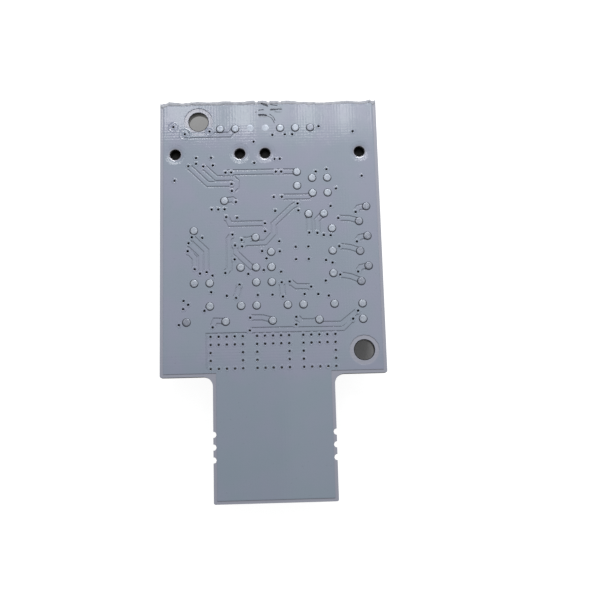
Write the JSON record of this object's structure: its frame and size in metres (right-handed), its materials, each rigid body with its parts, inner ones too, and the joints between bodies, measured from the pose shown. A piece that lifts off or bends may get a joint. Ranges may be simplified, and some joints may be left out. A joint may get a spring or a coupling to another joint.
{
  "type": "daytime running light module circuit board",
  "caption": "T-shaped white circuit board of a vehicle daytime running light, bare back up, with lamps, driver parts and pin headers on its underside.",
  "frame": {"origin": "centre of the bounding box in X and Y, at the level of the header rims and capacitor tops that the module lies on", "axes": "+Z out of the bare back of the board, +Y from the tongue towards the connectors, +X to the right seen from the back"},
  "size_m": [0.0366, 0.0666, 0.0094],
  "materials": {
    "mask_board": "glossy white solder mask over glass-epoxy laminate",
    "solder": "hot-air tinned, satin bright",
    "connector_plastic": "black moulded nylon",
    "contact_metal": "tin-plated brass",
    "lamp_ceramic": "white ceramic",
    "lamp_phosphor": "yellow phosphor under clear silicone",
    "mould_compound": "black moulding compound",
    "tinned_lead": "matt tin plate",
    "ferrite": "dark grey ferrite",
    "copper_wire": "enamelled copper",
    "choke_powder": "pressed iron powder",
    "can_metal": "satin aluminium",
    "resistor_film": "black glass film",
    "chip_ceramic": "tan fired ceramic"
  },
  "bodies": {
    "root": {"bulk_capacitor_bases": "connector_plastic", "bulk_capacitor_cans": "can_metal", "bulk_capacitor_feet": "tinned_lead", "channel_transistor_bodies": "mould_compound", "channel_transistor_leads": "tinned_lead", "chip_capacitor_bodies": "chip_ceramic", "chip_capacitor_end_caps": "solder", "chip_resistor_bodies": "resistor_film", "chip_resistor_end_caps": "solder", "circuit_board": "mask_board", "control_ic_body": "mould_compound", "control_ic_leads": "tinned_lead", "driver_ic_body": "mould_compound", "driver_ic_leads": "tinned_lead", "filter_choke_body": "choke_powder", "filter_choke_terminals": "tinned_lead", "header_4way_contacts": "contact_metal", "header_4way_housing": "connector_plastic", "header_6way_contacts": "contact_metal", "header_6way_housing": "connector_plastic", "inductor_clips": "tinned_lead", "inductor_drum": "ferrite", "inductor_shield": "ferrite", "inductor_winding": "copper_wire", "lamp_carriers": "lamp_ceramic", "lamp_windows": "lamp_phosphor", "output_capacitor_bodies": "chip_ceramic", "output_capacitor_end_caps": "solder", "polarity_diode_body": "mould_compound", "polarity_diode_terminals": "tinned_lead", "regulator_body": "mould_compound", "regulator_leads": "tinned_lead", "shunt_bodies": "resistor_film", "shunt_end_caps": "solder", "signal_transistor_bodies": "mould_compound", "signal_transistor_leads": "tinned_lead", "surge_diode_body": "mould_compound", "surge_diode_terminals": "tinned_lead", "test_pads": "solder", "thermistor_bodies": "resistor_film", "thermistor_end_caps": "solder"}
  },
  "joints": []
}
